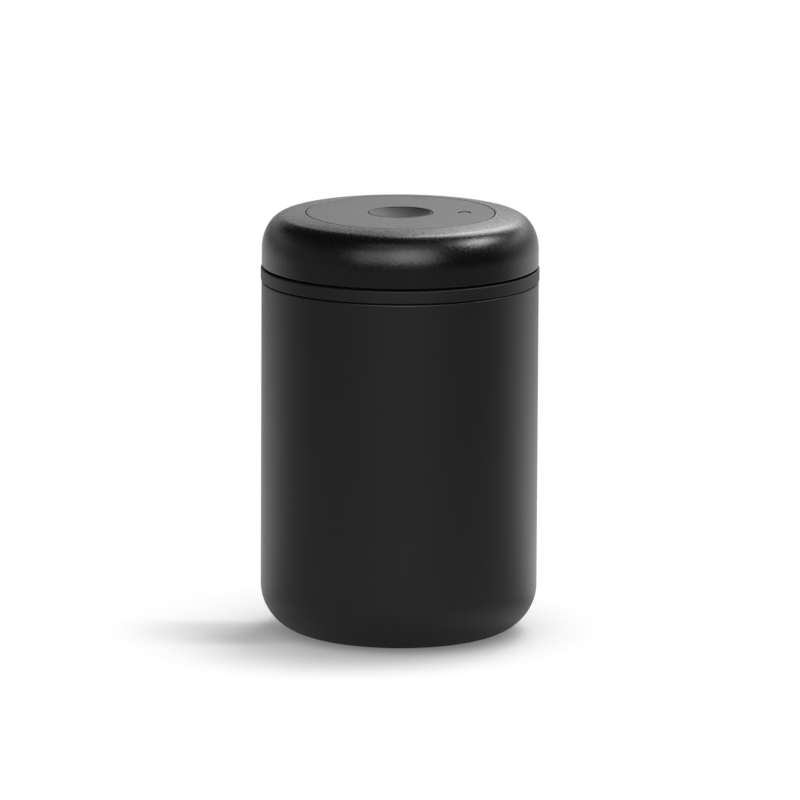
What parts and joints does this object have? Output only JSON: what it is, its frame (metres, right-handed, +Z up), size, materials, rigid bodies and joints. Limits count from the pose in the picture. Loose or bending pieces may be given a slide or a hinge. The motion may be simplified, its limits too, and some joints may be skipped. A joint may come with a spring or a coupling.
{
  "type": "vacuum canister",
  "caption": "Round matte black kitchen canister with a domed twist-to-pump lid, press-to-release button and seal indicator.",
  "frame": {"origin": "middle of the foot, in the plane that the foot stands on", "axes": "+Z up along the canister's axis, +X towards the seal indicator in the top plate, -Y the side that the picture looks at"},
  "size_m": [0.1204, 0.1204, 0.1836],
  "materials": {
    "body_coat": "matte black powder coat on drawn stainless steel",
    "band_plastic": "smooth satin black moulded plastic",
    "cap_plastic": "fine grained matte black moulded plastic",
    "top_plastic": "fine grained matte black moulded plastic",
    "button_plastic": "fine grained matte black moulded plastic",
    "indicator_plastic": "satin black plastic",
    "inner_plastic": "unpolished dark grey glass-filled plastic",
    "bearing_plastic": "natural white low-friction plastic",
    "black_rubber": "smooth black silicone rubber",
    "seal_rubber": "smooth red-brown rubber",
    "valve_silicone": "translucent milky silicone",
    "screw_steel": "zinc-plated screw steel",
    "pin_steel": "ground stainless steel",
    "spring_steel": "drawn stainless spring wire",
    "mesh_steel": "etched stainless mesh"
  },
  "bodies": {
    "body": {"canister_body": "body_coat"},
    "lid": {"lid_base": "band_plastic", "rim_gasket": "black_rubber", "bottom_cover": "inner_plastic", "cover_screws": "screw_steel", "filter_mesh": "mesh_steel", "inlet_valve": "valve_silicone", "pump_cylinder": "inner_plastic", "cylinder_seal": "seal_rubber", "guide_tower": "inner_plastic", "tower_screws": "screw_steel", "glide_ring": "bearing_plastic", "top_plate": "top_plastic", "release_spring": "spring_steel", "indicator_housing": "inner_plastic", "indicator_spring": "spring_steel"},
    "cap": {"twist_cap": "cap_plastic", "cam_ring": "bearing_plastic", "cap_screws": "screw_steel"},
    "piston": {"piston": "inner_plastic", "piston_outer_seal": "black_rubber", "piston_inner_seal": "black_rubber", "exhaust_valve": "valve_silicone", "drive_pins": "pin_steel"},
    "release": {"release_button": "button_plastic", "release_stem": "pin_steel", "release_seal": "valve_silicone", "stem_clip": "screw_steel"},
    "indicator": {"indicator_pin": "indicator_plastic", "indicator_seal": "black_rubber"}
  },
  "joints": [
    {"name": "lid_lift", "type": "slide", "parent": "body", "child": "lid", "axis": [0, 0, 1], "range_m": [0, 0.1]},
    {"name": "cap_twist", "type": "hinge", "parent": "lid", "child": "cap", "pos_m": [0, 0, 0.16], "axis": [0, 0, 1], "range_deg": [0, 75]},
    {"name": "piston_stroke", "type": "slide", "parent": "lid", "child": "piston", "axis": [0, 0, 1], "range_m": [0, 0.014]},
    {"name": "release_press", "type": "slide", "parent": "lid", "child": "release", "axis": [0, 0, -1], "range_m": [0, 0.003], "stiffness_N_per_m": 600, "springref_m": -0.008, "deforming": ["release_spring"]},
    {"name": "indicator_drop", "type": "slide", "parent": "lid", "child": "indicator", "axis": [0, 0, -1], "range_m": [0, 0.0025], "stiffness_N_per_m": 120, "springref_m": -0.004, "deforming": ["indicator_spring"]}
  ],
  "couplings": [
    {"joint": "piston_stroke", "follows": "cap_twist", "m_per_rad": 0.010695}
  ]
}
